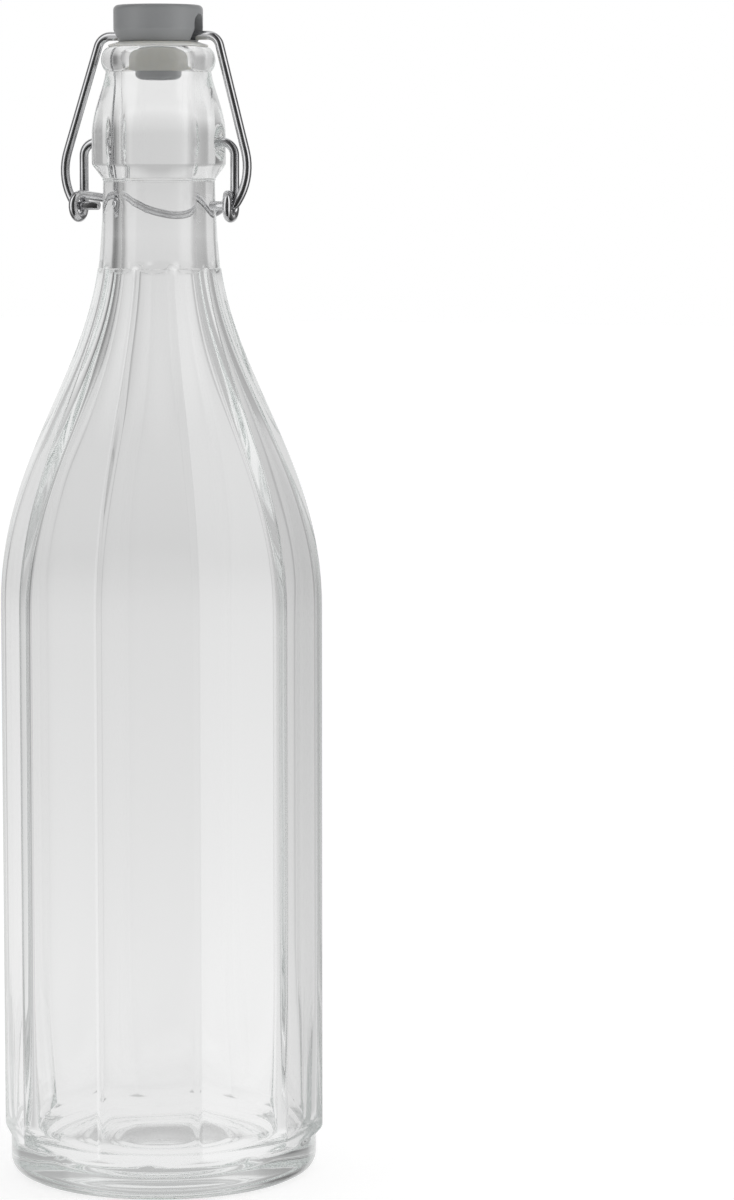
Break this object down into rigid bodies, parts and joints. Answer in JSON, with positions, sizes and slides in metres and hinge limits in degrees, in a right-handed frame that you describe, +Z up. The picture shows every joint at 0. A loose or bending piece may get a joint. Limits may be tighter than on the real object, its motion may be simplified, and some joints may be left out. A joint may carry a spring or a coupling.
{
  "type": "swing top bottle",
  "caption": "Tall ten-sided clear glass bottle with a wire lever and bail that press a grey stopper and soft gasket onto the mouth.",
  "frame": {"origin": "centre of the base, on the surface that the bottle stands on", "axes": "+Z up along the bottle; X along the line of the two pivot dimples; +Y to the side that the lever's handle goes round"},
  "size_m": [0.0824, 0.0854, 0.3115],
  "materials": {
    "glass": "clear and polished",
    "wire": "bright drawn wire",
    "stopper": "mid grey, satin",
    "gasket": "soft, translucent, cream"
  },
  "bodies": {
    "bottle": {"glass_bottle": "glass"},
    "lever": {"lever_wire": "wire"},
    "bail": {"bail_wire": "wire"},
    "stopper": {"stopper_cap": "stopper", "gasket": "gasket"}
  },
  "joints": [
    {"name": "lever_swing", "type": "hinge", "parent": "bottle", "child": "lever", "pos_m": [0, 0, 0.2757], "axis": [1, 0, 0], "range_deg": [0, 95]},
    {"name": "bail_swing", "type": "hinge", "parent": "lever", "child": "bail", "pos_m": [0, -0.0031, 0.259], "axis": [1, 0, 0], "range_deg": [-63, 0]},
    {"name": "stopper_swing", "type": "hinge", "parent": "bail", "child": "stopper", "pos_m": [0, 0.0004, 0.3035], "axis": [1, 0, 0], "range_deg": [-30, 0]}
  ],
  "couplings": [
    {"joint": "bail_swing", "follows": "lever_swing", "ratio": -0.65},
    {"joint": "stopper_swing", "follows": "lever_swing", "ratio": -0.3}
  ]
}
